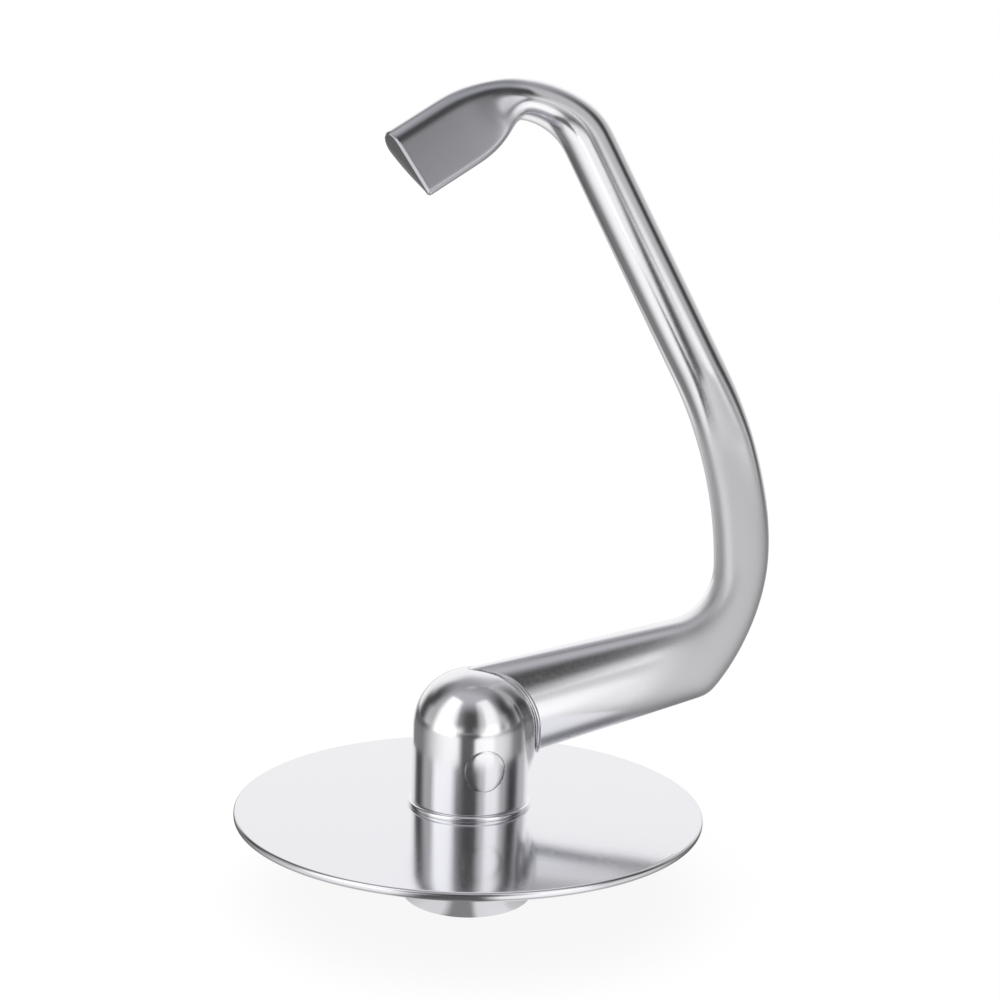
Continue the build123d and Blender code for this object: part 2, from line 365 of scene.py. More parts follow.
# %% Depth and pull
blade_depth = 9.6
bow_depth = 8.4
oval_pull = 0.5523
square_pull = 0.75
bow_square_share = 0.6

depth_ends = [blade_depth, blade_depth, bow_depth, bar_width_low] + [bar_width_top] * 4
pull_ends = [oval_pull, square_pull, square_pull] + [oval_pull] * 5
depths = []
pulls = []
for i, edge in enumerate(inside):
    depths.append(np.linspace(depth_ends[i], depth_ends[i + 1], len(edge)))
    pulls.append(np.linspace(pull_ends[i], pull_ends[i + 1], len(edge)))
bow_share = np.linspace(0, 1, counts["bow"])
turning_round = np.clip((bow_share - bow_square_share) / (1 - bow_square_share), 0, 1)
depths[2] = bow_depth + (bar_width_low - bow_depth) * turning_round
pulls[2] = square_pull + (oval_pull - square_pull) * turning_round
print("depth from", blade_depth, "at the blade to", bar_width_top, "at the paddle")

# %% [markdown]
# ## Stations along the arm
# The stretches are strung together and eased a little, as casting and polishing do: sharp changes of curve
# go, and the heel gets its small round. Easing is a weighted average over neighbours, and straight runs stay
# straight.

# %% String and ease the stations
def string(stretches):
    """One row of points from stretches that share their ends."""
    return np.concatenate([stretches[0]] + [stretch[1:] for stretch in stretches[1:]])


def eased(row, reach):
    """Row of points averaged over neighbours, with its ends carried on straight."""
    margin = 4 * reach
    before = row[0] + (row[0] - row[1]) * np.arange(margin, 0, -1)[:, None]
    after = row[-1] + (row[-1] - row[-2]) * np.arange(1, margin + 1)[:, None]
    padded = np.concatenate([before, row, after])
    weights = np.exp(-0.5 * (np.arange(-margin, margin + 1) / reach) ** 2)
    weights /= weights.sum()
    return np.stack([np.convolve(column, weights, "valid") for column in padded.T], 1)


ease_reach = 4
inner = eased(string(inside), ease_reach)
outer = eased(string(outside), ease_reach)
depth = eased(string([d[:, None] for d in depths]), ease_reach)[:, 0]
pull = eased(string([p[:, None] for p in pulls]), ease_reach)[:, 0]
stations = len(inner)
print(stations, "stations")

# %% Sections across the arm
around = 256
turn = np.linspace(0, 2 * pi, around, endpoint=False)
quarter = (turn / (pi / 2)).astype(int)
t = turn / (pi / 2) - quarter
falling = (1 - t) ** 3 + 3 * (1 - t) ** 2 * t + 3 * (1 - t) * t ** 2 * pull[:, None]
rising = 3 * (1 - t) ** 2 * t * pull[:, None] + 3 * (1 - t) * t ** 2 + t ** 3
wide = np.choose(quarter, [falling, -rising, -falling, rising])
deep = np.choose(quarter, [rising, falling, -rising, -falling])
middle = (inner + outer) / 2
across = (outer - inner) / 2
arm = np.zeros((stations, around, 3))
arm[:, :, 0] = middle[:, None, 0] + across[:, None, 0] * wide
arm[:, :, 2] = middle[:, None, 1] + across[:, None, 1] * wide
arm[:, :, 1] = depth[:, None] / 2 * deep
print("arm grid", arm.shape)

# %% [markdown]
# ## The paddle
# The tip was forged wide, with a flat face toward the front, a thick round upper edge and a thin lower
# edge, so its section is a wedge. The bar's oval turns into that wedge over a few millimetres, which gives
# the soft shoulder where the flat runs out. The points keep their order round each ring, so the skin stays
# even.

# %% Wedge section
flat_offset = 2.5
paddle_thick = 6.2
upper_round = 3.0
lower_thick = 1.7


def smooth(share):
    """Soft step from 0 to 1."""
    share = np.clip(share, 0, 1)
    return share * share * (3 - 2 * share)


def wedge(reach, width, side, taper):
    """Depth of the wedge at a distance from its thin edge. Side is -1 on the flat and 1 on the back."""
    low_half = lower_thick / 2
    run = np.clip((reach - low_half) / (width - upper_round - low_half), 0, 1)
    swell = (run + np.sin(run * pi / 2)) / 2
    back = lower_thick + (paddle_thick - lower_thick) * swell
    top_share = np.clip((reach - width + upper_round) / upper_round, 0, 1)
    low_share = np.clip(1 - reach / low_half, 0, 1)
    half = (back - taper) / 2 * np.sqrt((1 - top_share ** 2) * (1 - low_share ** 2))
    return (back + taper) / 2 - flat_offset + side * half


print("wedge is", lower_thick, "to", paddle_thick, "mm thick")

# %% Forge the paddle and slant its end
flat_taper = 0.026
wedge_from = 25.0
wedge_full = 17.0
forge_ease = 7
ring_ease = 3
tip_slant = tan(radians(8.0))
paddle_from = sum(counts[name] - 1 for name in ("blade", "elbow", "bow", "bar"))
paddle_straight = paddle_from + counts["bend"] + counts["flare"] - 2

heading_3d = np.array([toward(paddle_heading)[0], 0, toward(paddle_heading)[1]])
tip_part = arm[paddle_from:]
tip_width = np.linalg.norm(outer - inner, axis=1)[paddle_from:, None]
tip_reach = (1 + np.cos(turn)) / 2 * tip_width
tip_side = np.where(np.sin(turn) < 0, -1.0, 1.0)
from_end = (np.array([paddle_end[0], 0, paddle_end[1]]) - tip_part) @ heading_3d
forged = wedge(tip_reach, tip_width, tip_side, flat_taper * np.clip(wedge_full - from_end, 0, None))
share = smooth((wedge_from - from_end) / (wedge_from - wedge_full))
forging = eased((forged - tip_part[:, :, 1]) * share, forge_ease)
forging = eased(np.tile(forging, 3).T, ring_ease).T[:, around:2 * around]
tip_part[:, :, 1] += forging
straight_part = arm[paddle_straight:]
slant = np.linspace(0, 1, len(straight_part))[:, None] * (straight_part[:, :, 1] + flat_offset) * tip_slant
straight_part += slant[:, :, None] * heading_3d
print("flat from station", paddle_from, "of", stations)

# %% Round the paddle's end edge
end_round = 0.6
end_ring = arm[-1]
outline = np.roll(end_ring, -1, axis=0) - np.roll(end_ring, 1, axis=0)
end_normal = np.array([toward(paddle_heading)[0], -tip_slant, toward(paddle_heading)[1]])
end_normal /= np.linalg.norm(end_normal)
inward = np.cross(end_normal, outline)
inward /= np.linalg.norm(inward, axis=1)[:, None]
if ((end_ring.mean(0) - end_ring) * inward).sum() < 0:
    inward = -inward
arm[paddle_straight:] -= heading_3d * np.linspace(0, end_round, stations - paddle_straight)[:, None, None]
end_rings = []
for angle in np.linspace(0, pi / 2, 9)[1:]:
    end_rings.append(arm[-1] + inward * end_round * (1 - cos(angle)) + heading_3d * end_round * sin(angle))
print("end edge has", len(end_rings), "rings")

# %% [markdown]
# ## The arm's seat
# The blade meets the hub on a low boss. Each line of the blade is followed back to the boss's face, which is
# the hub's own bullet shape moved toward the arm, so the arm ends exactly on it. A small round bead runs
# round the seat, as a polished braze line does, and catches the light as one bright line.

# %% Find the seat
def bullet_distance(points, radius, shift):
    """Distance of points from a bullet of this radius whose axis is moved by shift along X."""
    x = points[..., 0] - shift
    z = np.maximum(points[..., 2] - nose_centre, 0)
    return np.sqrt(x ** 2 + points[..., 1] ** 2 + z ** 2) - radius


blade_stop = counts["blade"] // 2
seat_reach = -0.35
seat_tries = np.linspace(seat_reach, 1, 1200)[:, None]
seat = np.zeros((around, 3))
for j in range(around):
    line = arm[0, j] + (arm[blade_stop, j] - arm[0, j]) * seat_tries
    distance = bullet_distance(line, hub_radius + seat_gap, boss_height)
    inside_hub = np.nonzero(distance <= 0)[0]
    first = inside_hub[-1] if len(inside_hub) else int(np.argmin(distance))
    seat[j] = line[first]
print("seat reaches from z", seat[:, 2].min().round(1), "to", seat[:, 2].max().round(1))

# %% Bead and arm
bead_thin = 0.08
bead_swell = 0.42
# The bead runs out at the blade's top edge, where the cosine of the turn is -1
bead_runs_out = -0.98
bead_is_full = -0.68

run = arm[blade_stop] - seat
ahead_of_seat = run / np.linalg.norm(run, axis=1)[:, None]
span = outer[0] - inner[0]
half_height = np.linalg.norm(span) / 2
outward = np.zeros((around, 3))
outward[:, [0, 2]] = np.cos(turn)[:, None] / half_height * span / np.linalg.norm(span)
outward[:, 1] = np.sin(turn) / (blade_depth / 2)
outward /= np.linalg.norm(outward, axis=1)[:, None]
bead_share = smooth((np.cos(turn) - bead_runs_out) / (bead_is_full - bead_runs_out))
bead_radius = bead_thin + bead_swell * bead_share[:, None]
bead_rings = []
for angle in np.linspace(0, pi, 17):
    bead_rings.append(seat + (ahead_of_seat * (1 - cos(angle)) + outward * sin(angle)) * bead_radius)
blade_share = np.linspace(0, 1, blade_stop + 1)[1:, None, None]
blade_rings = bead_rings[-1] + (arm[blade_stop] - bead_rings[-1]) * blade_share
# Every second ring is fine enough for the skin, counted back from the paddle's end
body = np.concatenate([blade_rings, arm[blade_stop + 1:]])
body = body[(len(body) - 1) % 2::2]
hook = join_rings("hook_arm_piece", np.concatenate([bead_rings, body, end_rings]) * mm)
print("hook has", len(hook.data.vertices), "points")

# %% [markdown]
# ## Hub
# The hub is a bullet, turned and polished, that swells into a low boss under the arm. Near the arm its skin
# is moved outward with a smooth fall-off, which gives the small flare that a brazed and polished joint has.
# A round pit takes the lock dowel. The grid is denser round the dowel so that its edge stays crisp.

# %% Hub's grid
def dense(low, high, fine_low, fine_high, coarse, fine):
    """Rising row of values with a finer step in one stretch."""
    below = np.arange(low, fine_low, coarse)
    above = np.arange(fine_high, high, coarse)
    return np.concatenate([below, np.arange(fine_low, fine_high, fine), above])


dowel_bearing = -pi / 2
fine_reach = 4.4
fine_turn = fine_reach / hub_radius
fine_rise = 4.3
foot_round = 0.3
pole_radius = 0.05
angles = dowel_bearing + dense(-pi, pi, -fine_turn, fine_turn, coarse=0.02, fine=0.008)
side_levels = dense(
    hub_foot + foot_round, nose_centre, dowel_level - fine_rise, dowel_level + fine_rise,
    coarse=0.24, fine=0.088,
)
foot_arc = np.linspace(0, pi / 2, 8)[:-1]
nose_arc = np.linspace(0, pi / 2, 90)[:-1]
foot_centre = (hub_radius - foot_round, hub_foot + foot_round)
profile = [(hole_radius, socket_roof), (hole_radius, hub_foot)]
profile += [(foot_centre[0] + foot_round * sin(a), foot_centre[1] - foot_round * cos(a)) for a in foot_arc]
profile += [(hub_radius, level) for level in side_levels]
profile += [(hub_radius * cos(a), nose_centre + hub_radius * sin(a)) for a in nose_arc]
profile.append((pole_radius, nose_top))
grid = np.array([
    np.stack([r * np.cos(angles), r * np.sin(angles), np.full(len(angles), z)], 1) for r, z in profile
])
print("hub grid", grid.shape)

# %% Boss
flare_from = 1.06
flare_to = 1.5
boss_fade = 3.0


def in_blade(points):
    """How far out points lie in the blade's oval: 1 is on its skin."""
    last = counts["blade"] - 1
    start = (inner[0] + outer[0]) / 2
    end = (inner[last] + outer[last]) / 2
    length = np.linalg.norm(end - start)
    axis = (end - start) / length
    half_start = np.linalg.norm(outer[0] - inner[0]) / 2
    half_end = np.linalg.norm(outer[last] - inner[last]) / 2
    flat = np.stack([points[..., 0], points[..., 2]], -1) - start
    side = flat @ np.array([axis[1], -axis[0]])
    half = half_start + (half_end - half_start) * (flat @ axis) / length
    return np.sqrt((side / half) ** 2 + (points[..., 1] / (blade_depth / 2)) ** 2)


outer_skin = grid[2:]
near_arm = smooth((flare_to - in_blade(outer_skin)) / (flare_to - flare_from))
arm_side = np.clip(outer_skin[:, :, 0] / boss_fade, 0, 1)
outer_skin[:, :, 0] += boss_height * near_arm * arm_side
print("boss stands", round(boss_height, 2), "mm proud")

# %% Dowel pit
pit_gap = 0.01
pit_radius = dowel_radius + pit_gap
pit_depth = 0.7
pit_edge = 0.03
from_dowel = np.hypot(outer_skin[:, :, 0], outer_skin[:, :, 2] - dowel_level)
in_front = outer_skin[:, :, 1] < 0
sink = np.clip((pit_radius + pit_edge - from_dowel) / (2 * pit_edge), 0, 1) * in_front
outer_skin[:, :, 1] += pit_depth * sink
hub = join_rings("hub_piece", grid * mm)
print("hub has", len(hub.data.vertices), "points")

# %% [markdown]
# ## Lock dowel
# A round pin holds the bush in the hub. Its end was polished over with the hub, so it follows the hub's
# round and shows only as a thin ring at its softened edge. The rings run from its side to its middle.

# %% Dowel
dowel_edge = 0.8
dowel_edge_drop = 0.05
dowel_edge_turn = radians(55)
dowel_side = 0.6
edge_step = 0.02
crowning = 0.97
dowel_turn = np.linspace(0, 2 * pi, 192, endpoint=False)


def dowel_ring(radius, sink):
    """Ring on the dowel's end, which follows the hub's round closely, or on its side."""
    x = radius * np.cos(dowel_turn)
    z = dowel_level + radius * np.sin(dowel_turn)
    full = np.sqrt(hub_radius ** 2 - x ** 2)
    faced = np.sqrt(hub_radius ** 2 - dowel_radius ** 2)
    y = -(faced + (full - faced) * crowning) + sink
    return np.stack([x, y, z], 1)


dowel_rings = [dowel_ring(radius, 0) for radius in np.linspace(pole_radius, dowel_radius - dowel_edge, 30)]
for angle in np.linspace(0, dowel_edge_turn, 9)[1:]:
    edge_radius = dowel_radius - dowel_edge + dowel_edge * sin(angle) / sin(dowel_edge_turn)
    edge_drop = dowel_edge_drop * (1 - cos(angle)) / (1 - cos(dowel_edge_turn))
    dowel_rings.append(dowel_ring(edge_radius, edge_drop))
dowel_rings.append(dowel_ring(dowel_radius, dowel_edge_drop + edge_step))
dowel_rings.append(dowel_ring(dowel_radius, dowel_side))
dowel = join_rings("lock_dowel_piece", np.array(dowel_rings[::-1]) * mm)
print("dowel has", len(dowel.data.vertices), "points")

# %% [markdown]
# ## Polished stainless steel
# The hook is stainless steel, ground and buffed to a mirror. Buffing leaves hair-fine lines and a faint
# orange-peel waviness, so highlights have soft edges. A metal's look is its reflections: metallic 1, a pale
# neutral grey with a cool tint, and a low roughness that wanders a little from place to place. Real buffing
# lines are some hundredths of a millimetre apart. They would not show, so they are drawn about ten times as
# coarse.

# %% Steel
def polished_steel(name, tint, gloss, peel_mm, peel_height_mm, line_mm):
    """Buffed stainless steel: tint, roughness range, and the sizes of its waviness and buffing lines."""
    material = bpy.data.materials.new(name)
    material.use_nodes = True
    tree = material.node_tree
    tree.nodes.clear()
    place = add_node(tree, "ShaderNodeTexCoord").outputs["Object"]
    peel = add_node(tree, "ShaderNodeTexNoise", Vector=place, Scale=1 / (peel_mm * mm), Detail=2.0)
    lines = add_node(
        tree, "ShaderNodeTexNoise", Vector=place, Scale=1 / (line_mm * mm), Detail=3.0, Roughness=0.6,
    )
    rough = add_node(
        tree, "ShaderNodeMapRange", Value=lines.outputs["Fac"],
        From_Min=0.3, From_Max=0.7, To_Min=gloss[0], To_Max=gloss[1],
    )
    bump = add_node(
        tree, "ShaderNodeBump", Height=peel.outputs["Fac"], Strength=0.2, Distance=peel_height_mm * mm,
    )
    steel = add_node(
        tree, "ShaderNodeBsdfPrincipled", Base_Color=linear(tint), Metallic=1.0,
        Roughness=rough.outputs["Result"], Normal=bump.outputs["Normal"],
    )
    add_node(tree, "ShaderNodeOutputMaterial", Surface=steel.outputs["BSDF"])
    return material


bright_steel = "#F1F1F4"
# Buffed by hand on a wheel: soft-edged streaks that waver a little
arm_steel = polished_steel("buffed stainless steel", bright_steel, (0.12, 0.18), 6.0, 0.02, 0.6)
# Turned first, so truer in form: straight, calm streaks
hub_steel = polished_steel("turned and buffed stainless steel", bright_steel, (0.12, 0.17), 6.0, 0.01, 0.6)
# Rolled sheet, buffed flat: the clearest reflections, with a slow waviness
sheet_steel = polished_steel("mirror-buffed stainless sheet", "#EAEAEE", (0.1, 0.15), 14.0, 0.01, 0.6)
# Turned and left so: greyer, with softer reflections
collar_steel = polished_steel("fine-turned stainless steel", "#D8D8DC", (0.14, 0.22), 6.0, 0.01, 0.4)
print("steels:", [m.name for m in (arm_steel, hub_steel, sheet_steel, collar_steel)])

# %% [markdown]
# ## Satin on the ground flats
# The elbow and the paddle were ground and not buffed again. Fine grinding scatters the reflection, so these
# places look like even grey satin beside the mirror finish, and the paddle also gets painted shade as a
# darker tint. Limits in the piece's own coordinates, each a soft step over some millimetres, make a mask for
# each place.

# %% Where the satin lies
tree = arm_steel.node_tree
place = add_node(tree, "ShaderNodeTexCoord").outputs["Object"]
parts = add_node(tree, "ShaderNodeSeparateXYZ", Vector=place)
# Slanting limits in the hook's plane: one past the blade's end, one along the elbow's inner side
across_blade = (0.814, 0, -0.581)
across_elbow = (2, 0, 1)
elbow_level = 50
along = add_node(
    tree, "ShaderNodeVectorMath", {"operation": "DOT_PRODUCT"}, at_0=place, at_1=across_blade,
)
higher = add_node(
    tree, "ShaderNodeMath", {"operation": "SUBTRACT"}, at_0=parts.outputs["Z"], at_1=elbow_level * mm,
)
past_blade = add_node(
    tree, "ShaderNodeMath", {"operation": "MAXIMUM"},
    at_0=along.outputs["Value"], at_1=higher.outputs["Value"],
)
to_inside = add_node(
    tree, "ShaderNodeVectorMath", {"operation": "DOT_PRODUCT"}, at_0=place, at_1=across_elbow,
)
elbow_limits = (
    ("inner side", to_inside.outputs["Value"], 196.0, 180.0),
    ("past the blade", past_blade.outputs["Value"], 0.0, 9.0),
    ("under the bar", parts.outputs["Z"], 97.0, 82.0),
    ("elbow's front", parts.outputs["Y"], 2.0, -1.0),
)
# The paddle's mask also places its painted shade
paddle_limits = (
    ("near the tip", parts.outputs["X"], 7.0, 3.0),
    ("up at the paddle", parts.outputs["Z"], 116.0, 120.0),
    ("paddle's front", parts.outputs["Y"], -1.0, -1.8),
)
masks = []
for limits in (elbow_limits, paddle_limits):
    mask = 1.0
    for label, value, start, end in limits:
        limit = add_node(
            tree, "ShaderNodeMapRange", {"interpolation_type": "SMOOTHSTEP", "label": label},
            Value=value, From_Min=start * mm, From_Max=end * mm,
        )
        both = add_node(
            tree, "ShaderNodeMath", {"operation": "MULTIPLY"}, at_0=mask, at_1=limit.outputs["Result"],
        )
        mask = both.outputs["Value"]
    masks.append(mask)
print("satin lies within", len(elbow_limits), "and", len(paddle_limits), "limits")

# %% Satin finish and painted shade on the paddle
elbow_roughness = 0.52
paddle_roughness = 0.22
# The paddle's darker tint is painted shade: it darkens the paddle's reflection toward grey
paddle_shade_tint = "#D2D2D8"
steel = tree.nodes["Principled BSDF"]
buffed = steel.inputs["Roughness"].links[0].from_socket
elbow_finish = add_node(
    tree, "ShaderNodeMix", {"data_type": "FLOAT"}, at_0=masks[0], at_2=buffed, at_3=elbow_roughness,
)
finish = add_node(
    tree, "ShaderNodeMix", {"data_type": "FLOAT"},
    at_0=masks[1], at_2=elbow_finish.outputs[0], at_3=paddle_roughness,
)
paddle_painted_shade = add_node(
    tree, "ShaderNodeMix", {"data_type": "RGBA"},
    Factor=masks[1], at_6=linear(bright_steel), at_7=linear(paddle_shade_tint),
)
tree.links.new(finish.outputs[0], steel.inputs["Roughness"])
tree.links.new(paddle_painted_shade.outputs[2], steel.inputs["Base Color"])
print("satin roughness", elbow_roughness, "and", paddle_roughness)

# %% Dress the pieces and tie them to the frame
dressing = [
    (hook, arm_steel, "hook_arm", "arm_steel"),
    (hub, hub_steel, "hub", "hub_steel"),
    (shield, sheet_steel, "dough_shield", "shield_steel"),
    (foot_ring, hub_steel, "foot_ring", "ring_steel"),
    (dowel, hub_steel, "lock_dowel", "dowel_steel"),
]
for piece, material, node, slot in dressing:
    piece.data.materials.append(material)
    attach(piece, "root")
    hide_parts(node)
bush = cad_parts["drive_bush"]
bush.material_slots[0].material = collar_steel
print("dressed", len(dressing), "pieces and the bush")

# %% [markdown]
# ## Studio
# A mirror shows its surroundings, so the studio matters as much as the steel. The hook stands on a white
# table before a white backdrop. Toward the camera the room is dark, with pale walls to the left and right. A
# dark frame, where the backdrop ends, rings an axis near the camera's. The surroundings are a pattern on the
# world's directions, so they stay put when the camera moves. The camera itself sees plain white behind the
# hook.

# %% Bearings
def bearing_of(tree, direction):
    """Bearing of a direction as a share of the circle: 0.5 is toward the camera, and more is to its right."""
    spun = add_node(
        tree, "ShaderNodeVectorRotate", {"rotation_type": "Z_AXIS"}, Vector=direction, Angle=camera_bearing,
    )
    parts = add_node(tree, "ShaderNodeSeparateXYZ", Vector=spun.outputs["Vector"])
    front = add_node(tree, "ShaderNodeMath", {"operation": "MULTIPLY"}, at_0=parts.outputs["Y"], at_1=-1.0)
    angle = add_node(
        tree, "ShaderNodeMath", {"operation": "ARCTAN2"},
        at_0=parts.outputs["X"], at_1=front.outputs["Value"],
    )
    share = add_node(tree, "ShaderNodeMapRange", Value=angle.outputs["Value"], From_Min=-pi, From_Max=pi)
    return share.outputs["Result"], parts.outputs["Z"]


def at_bearing(stops):
    """Stops given in degrees of bearing, as shares of the circle."""
    return [(0.5 + bearing / 360, level) for bearing, level in stops]


def way_to(bearing_deg):
    """Level direction at a bearing from the camera's side."""
    camera_side = Vector((-sin(camera_bearing), -cos(camera_bearing), 0))
    return level_right * sin(radians(bearing_deg)) + camera_side * cos(radians(bearing_deg))


print("toward the camera:", [round(v, 3) for v in way_to(0)])

# %% Walls of the room
world = bpy.data.worlds.new("studio")
scene.world = world
world.use_nodes = True
tree = world.node_tree
tree.nodes.clear()
look = add_node(tree, "ShaderNodeTexCoord").outputs["Generated"]
bearing, rise = bearing_of(tree, look)
low_stops = at_bearing([
    (-180, 0.92), (-150, 0.92), (-135, 0.75), (-120, 0.6), (-85, 0.5), (-60, 0.7), (-45, 0.95),
    (-22, 0.95), (-14, 0.4), (-9, 0.08), (3, 0.08), (9, 0.25), (26, 0.28), (30, 0.6), (35, 0.95),
    (44, 1.1), (54, 1.0), (60, 0.4), (70, 0.3), (80, 1.1), (90, 1.1), (104, 0.45), (125, 0.6),
    (135, 0.85), (145, 0.92), (180, 0.92),
])
high_stops = at_bearing([
    (-180, 0.93), (-150, 0.9), (-130, 0.6), (-110, 0.5), (-60, 0.4), (-30, 0.33), (-14, 0.12),
    (-6, 0.07), (26, 0.07), (29, 0.12), (32, 0.4), (35, 0.55), (60, 0.52), (90, 0.4), (130, 0.6),
    (150, 0.9), (180, 0.93),
])
low_wall = add_node(tree, "ShaderNodeValToRGB", {"stops": low_stops}, Fac=bearing)
high_wall = add_node(tree, "ShaderNodeValToRGB", {"stops": high_stops}, Fac=bearing)
height = add_node(tree, "ShaderNodeMath", {"operation": "ARCSINE"}, at_0=rise).outputs["Value"]
upward = add_node(
    tree, "ShaderNodeMapRange", {"interpolation_type": "SMOOTHSTEP"}, Value=height,
    From_Min=radians(2), From_Max=radians(16),
)
walls = add_node(
    tree, "ShaderNodeMix", {"data_type": "RGBA"}, Factor=upward.outputs["Result"],
    at_6=low_wall.outputs["Color"], at_7=high_wall.outputs["Color"],
)
print("walls have", len(low_stops) + len(high_stops), "stops")

# %% Ceiling
ceiling_from = radians(34)
ceiling_full = radians(64)
ceiling_grey = "#B8B8BC"
overhead = add_node(
    tree, "ShaderNodeMapRange", {"interpolation_type": "SMOOTHSTEP"}, Value=height,
    From_Min=ceiling_from, From_Max=ceiling_full,
)
room = add_node(
    tree, "ShaderNodeMix", {"data_type": "RGBA"}, Factor=overhead.outputs["Result"],
    at_6=walls.outputs[2], at_7=linear(ceiling_grey),
)
print("ceiling is", ceiling_grey)

# %% [markdown]
# ## Dark frame
# Polished steel on a white ground needs something dark beside it, or its edges vanish. A photographer sets
# black boards there. Here they are a dark ring of directions, given by the angle from the ring's axis. Low
# down the ring opens a little wider, and toward the ceiling it fades.

# %% Ring of dark boards
frame_axis_bearing = -13
low_opening = 0.07
turned_away = add_node(
    tree, "ShaderNodeVectorMath", {"operation": "DOT_PRODUCT"}, at_0=look, at_1=way_to(frame_axis_bearing),
)
frame_share = add_node(
    tree, "ShaderNodeMapRange", Value=turned_away.outputs["Value"], From_Min=-1.0, From_Max=1.0,
)
opening = add_node(
    tree, "ShaderNodeMapRange", {"interpolation_type": "SMOOTHSTEP"}, Value=height,
    From_Min=radians(16), From_Max=radians(30), To_Min=low_opening, To_Max=0.0,
)
frame_place = add_node(
    tree, "ShaderNodeMath", {"operation": "ADD"},
    at_0=frame_share.outputs["Result"], at_1=opening.outputs["Result"],
)
frame_angles = (
    (180, 1.0), (117, 1.0), (107, 0.3), (102, 0.13), (92, 0.13), (87, 0.35), (77, 1.0), (0, 1.0),
)
frame_stops = [((cos(radians(angle)) + 1) / 2, level) for angle, level in frame_angles]
dark_frame = add_node(tree, "ShaderNodeValToRGB", {"stops": frame_stops}, Fac=frame_place.outputs["Value"])
frame_depth = add_node(
    tree, "ShaderNodeMapRange", {"interpolation_type": "SMOOTHSTEP"}, Value=height,
    From_Min=radians(35), From_Max=radians(70), To_Min=1.0, To_Max=0.35,
)
framed = add_node(
    tree, "ShaderNodeMix", {"data_type": "RGBA", "blend_type": "MULTIPLY"},
    Factor=frame_depth.outputs["Result"], at_6=room.outputs[2], at_7=dark_frame.outputs["Color"],
)
print("dark frame has", len(frame_stops), "stops")

# %% White backdrop for the camera and for mirrors
backdrop_stops = at_bearing([(-180, 1.0), (-155, 1.0), (-135, 0.0), (135, 0.0), (155, 1.0), (180, 1.0)])
backdrop = add_node(tree, "ShaderNodeValToRGB", {"stops": backdrop_stops}, Fac=bearing)
rays = add_node(tree, "ShaderNodeLightPath")
through = add_node(
    tree, "ShaderNodeMath", {"operation": "ADD", "use_clamp": True},
    at_0=rays.outputs["Is Glossy Ray"], at_1=rays.outputs["Is Transmission Ray"],
)
below_ceiling = add_node(
    tree, "ShaderNodeMapRange", {"interpolation_type": "SMOOTHSTEP"}, Value=height,
    From_Min=ceiling_from, From_Max=ceiling_full, To_Min=1.0, To_Max=0.0,
)
mirrored_share = add_node(
    tree, "ShaderNodeMath", {"operation": "MULTIPLY"},
    at_0=through.outputs["Value"], at_1=backdrop.outputs["Color"],
)
mirrored_low = add_node(
    tree, "ShaderNodeMath", {"operation": "MULTIPLY"},
    at_0=mirrored_share.outputs["Value"], at_1=below_ceiling.outputs["Result"],
)
white_share = add_node(
    tree, "ShaderNodeMath", {"operation": "ADD", "use_clamp": True},
    at_0=rays.outputs["Is Camera Ray"], at_1=mirrored_low.outputs["Value"],
)
view = add_node(
    tree, "ShaderNodeMix", {"data_type": "RGBA"}, Factor=white_share.outputs["Value"],
    at_6=framed.outputs[2], at_7=linear("#FFFFFF"),
)
background = add_node(tree, "ShaderNodeBackground", Color=view.outputs[2], Strength=1.0)
add_node(tree, "ShaderNodeOutputWorld", Surface=background.outputs["Background"])
print("world has", len(tree.nodes), "nodes")

# %% [markdown]
# ## Table
# The table is plain white to the camera and keeps the hook's soft shadow. For mirrors its emission is a
# painted pool of light round the hook that fades toward the room, as a table lit from above would show,
# painted shade at some bearings, and a painted dark stripe toward the camera for a camera stand's shadow.

# %% Table top
table_half = 3.0
table_mesh = bpy.data.meshes.new("table")
table_corners = [(x * table_half, y * table_half, 0) for x, y in ((-1, -1), (1, -1), (1, 1), (-1, 1))]
table_mesh.from_pydata(table_corners, [], [(0, 1, 2, 3)])
table = bpy.data.objects.new("table", table_mesh)
scene.collection.objects.link(table)
# Matt laminate, even white to the camera with no shine of its own; mirrors see the painted pattern below
table_with_painted_light = bpy.data.materials.new("matt white laminate with painted light for mirrors")
table_with_painted_light.use_nodes = True
table_mesh.materials.append(table_with_painted_light)
tree = table_with_painted_light.node_tree
tree.nodes.clear()
print("table is", 2 * table_half, "m wide")

# %% Painted pool of light on the table
place = add_node(tree, "ShaderNodeTexCoord").outputs["Object"]
away = add_node(tree, "ShaderNodeVectorMath", {"operation": "LENGTH"}, Vector=place).outputs["Value"]
pool_reach = 1.6
away_share = add_node(tree, "ShaderNodeMapRange", Value=away, From_Min=0.0, From_Max=pool_reach)
# Painted light: the fade outward is a painted pool of light, and the dip at 4 to 7.5 cm is painted shade
# round the shield's rim
near_levels = [(0, 0.95), (0.04, 0.85), (0.05, 0.45), (0.06, 0.5), (0.075, 0.9), (0.1, 1.05)]
dim_levels = near_levels + [(0.2, 0.95), (0.28, 0.62), (0.7, 0.52), (1.4, 0.9)]
wide_levels = near_levels + [(1.6, 1.0)]
pools = []
for levels in (dim_levels, wide_levels):
    pool_stops = [(reach / pool_reach, level) for reach, level in levels]
    ramp = add_node(tree, "ShaderNodeValToRGB", {"stops": pool_stops}, Fac=away_share.outputs["Result"])
    pools.append(ramp.outputs["Color"])
bearing = bearing_of(tree, place)[0]
side_stops = at_bearing([(-180, 0.0), (-95, 0.0), (-80, 1.0), (-8, 1.0), (2, 0.0)])
side = add_node(tree, "ShaderNodeValToRGB", {"stops": side_stops}, Fac=bearing)
pool = add_node(
    tree, "ShaderNodeMix", {"data_type": "RGBA"}, Factor=side.outputs["Color"],
    at_6=pools[0], at_7=pools[1],
)
print("pool of light reaches", pool_reach, "m")
